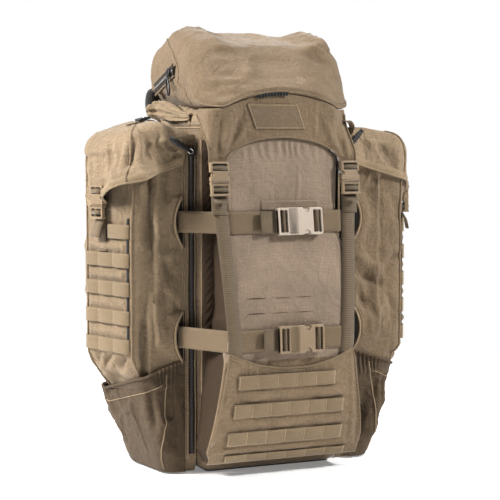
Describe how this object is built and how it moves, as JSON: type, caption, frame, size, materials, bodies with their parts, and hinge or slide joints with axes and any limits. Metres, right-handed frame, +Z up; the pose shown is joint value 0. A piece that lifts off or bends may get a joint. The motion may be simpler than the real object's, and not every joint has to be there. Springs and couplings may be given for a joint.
{
  "type": "hunting backpack",
  "caption": "Tall soft hunting backpack with a hinged lid, a bulging front pocket, flapped side pods, webbing grids, compression buckles and a padded harness.",
  "frame": {"origin": "centre of the flat base panel's underside, where the pack stands on the ground", "axes": "+Z up the pack, -Y to its front with the pocket and the buckles, +Y to the wearer's back, +X to the viewer's right when seen from the front"},
  "size_m": [0.6196, 0.5117, 0.8026],
  "materials": {
    "tan_fabric": "woven coated nylon",
    "light_tan_fabric": "woven coated nylon",
    "taupe_fabric": "ripstop nylon",
    "tan_webbing": "ribbed nylon webbing",
    "black_webbing": "ribbed nylon webbing",
    "black_padding": "spacer mesh over foam",
    "loop_pile": "hook-and-loop pile",
    "tan_plastic": "moulded acetal",
    "black_plastic": "moulded acetal",
    "frame_plastic": "sheet polyethylene",
    "zip_coil": "coil zip on woven tape",
    "bright_metal": "plated zinc",
    "aluminium_stay": "mill finish"
  },
  "bodies": {
    "pack": {"main_bag": "tan_fabric", "bag_collar": "light_tan_fabric", "base_panel": "black_plastic", "frame_sheet": "frame_plastic", "frame_stays": "aluminium_stay", "lumbar_pad": "black_padding", "back_pads": "black_padding", "left_shoulder_strap": "tan_fabric", "right_shoulder_strap": "tan_fabric", "shoulder_webbing": "tan_webbing", "shoulder_adjusters": "tan_plastic", "load_lifters": "tan_webbing", "haul_handle": "tan_webbing", "left_hip_wing": "tan_fabric", "right_hip_wing": "tan_fabric", "hip_webbing": "black_webbing", "hip_buckle_female": "black_plastic", "sternum_webbing": "black_webbing", "sternum_buckle_female": "black_plastic", "front_pocket": "taupe_fabric", "pocket_zip": "zip_coil", "lower_panel": "tan_fabric", "front_webbing_rows": "tan_webbing", "left_pod": "light_tan_fabric", "right_pod": "tan_fabric", "left_pod_pocket": "taupe_fabric", "right_pod_pocket": "taupe_fabric", "pod_webbing_rows": "tan_webbing", "side_zips": "zip_coil", "flap_straps": "black_webbing", "upper_strap": "tan_webbing", "lower_strap": "tan_webbing", "upper_buckle_female": "tan_plastic", "lower_buckle_female": "tan_plastic", "lid_straps": "tan_webbing", "hinge_seams": "tan_webbing"},
    "lid": {"lid_pocket": "tan_fabric", "lid_apron": "tan_fabric", "loop_patch": "loop_pile", "lid_zip": "zip_coil", "lid_buckle_females": "tan_plastic"},
    "lid_slider": {"lid_zip_slider": "black_plastic"},
    "left_flap_body": {"left_flap": "light_tan_fabric", "left_flap_buckle_female": "tan_plastic"},
    "right_flap_body": {"right_flap": "tan_fabric", "right_flap_buckle_female": "tan_plastic"},
    "left_flap_male": {"left_flap_buckle_male": "tan_plastic"},
    "right_flap_male": {"right_flap_buckle_male": "tan_plastic"},
    "left_slider": {"left_zip_slider": "black_plastic"},
    "right_slider": {"right_zip_slider": "black_plastic"},
    "pocket_slider": {"pocket_zip_slider": "bright_metal"},
    "upper_male": {"upper_buckle_male": "tan_plastic", "upper_strap_tail": "tan_webbing"},
    "lower_male": {"lower_buckle_male": "tan_plastic", "lower_strap_tail": "tan_webbing"},
    "left_lid_male": {"left_lid_buckle_male": "tan_plastic"},
    "right_lid_male": {"right_lid_buckle_male": "tan_plastic"},
    "hip_male": {"hip_buckle_male": "black_plastic"},
    "sternum_male": {"sternum_buckle_male": "black_plastic"}
  },
  "joints": [
    {"name": "lid_hinge", "type": "hinge", "parent": "pack", "child": "lid", "pos_m": [0, 0.1213, 0.6486], "axis": [-1, 0, 0], "range_deg": [0, 100]},
    {"name": "left_flap_hinge", "type": "hinge", "parent": "pack", "child": "left_flap_body", "pos_m": [-0.1415, -0.01, 0.6027], "axis": [0, 1, 0], "range_deg": [0, 50]},
    {"name": "right_flap_hinge", "type": "hinge", "parent": "pack", "child": "right_flap_body", "pos_m": [0.1415, -0.01, 0.6027], "axis": [0, -1, 0], "range_deg": [0, 50]},
    {"name": "upper_unclip", "type": "slide", "parent": "pack", "child": "upper_male", "axis": [-1, 0, 0], "range_m": [0, 0.03]},
    {"name": "lower_unclip", "type": "slide", "parent": "pack", "child": "lower_male", "axis": [-1, 0, 0], "range_m": [0, 0.03]},
    {"name": "left_lid_unclip", "type": "slide", "parent": "pack", "child": "left_lid_male", "axis": [0, -0.1202, -0.9928], "range_m": [0, 0.03]},
    {"name": "right_lid_unclip", "type": "slide", "parent": "pack", "child": "right_lid_male", "axis": [0, -0.1202, -0.9928], "range_m": [0, 0.03]},
    {"name": "left_flap_unclip", "type": "slide", "parent": "pack", "child": "left_flap_male", "axis": [0, 0, -1], "range_m": [0, 0.03]},
    {"name": "right_flap_unclip", "type": "slide", "parent": "pack", "child": "right_flap_male", "axis": [0, 0, -1], "range_m": [0, 0.03]},
    {"name": "hip_unclip", "type": "slide", "parent": "pack", "child": "hip_male", "axis": [1, 0, 0], "range_m": [0, 0.04]},
    {"name": "sternum_unclip", "type": "slide", "parent": "pack", "child": "sternum_male", "axis": [1, 0, 0], "range_m": [0, 0.03]},
    {"name": "left_side_zip", "type": "slide", "parent": "pack", "child": "left_slider", "axis": [0, 0, -1], "range_m": [0, 0.5]},
    {"name": "right_side_zip", "type": "slide", "parent": "pack", "child": "right_slider", "axis": [0, 0, -1], "range_m": [0, 0.5]},
    {"name": "front_pocket_zip", "type": "slide", "parent": "pack", "child": "pocket_slider", "axis": [0, 0, -1], "range_m": [0, 0.218]},
    {"name": "lid_pocket_zip", "type": "slide", "parent": "lid", "child": "lid_slider", "axis": [0, 0.9511, -0.309], "range_m": [0, 0.078]}
  ]
}
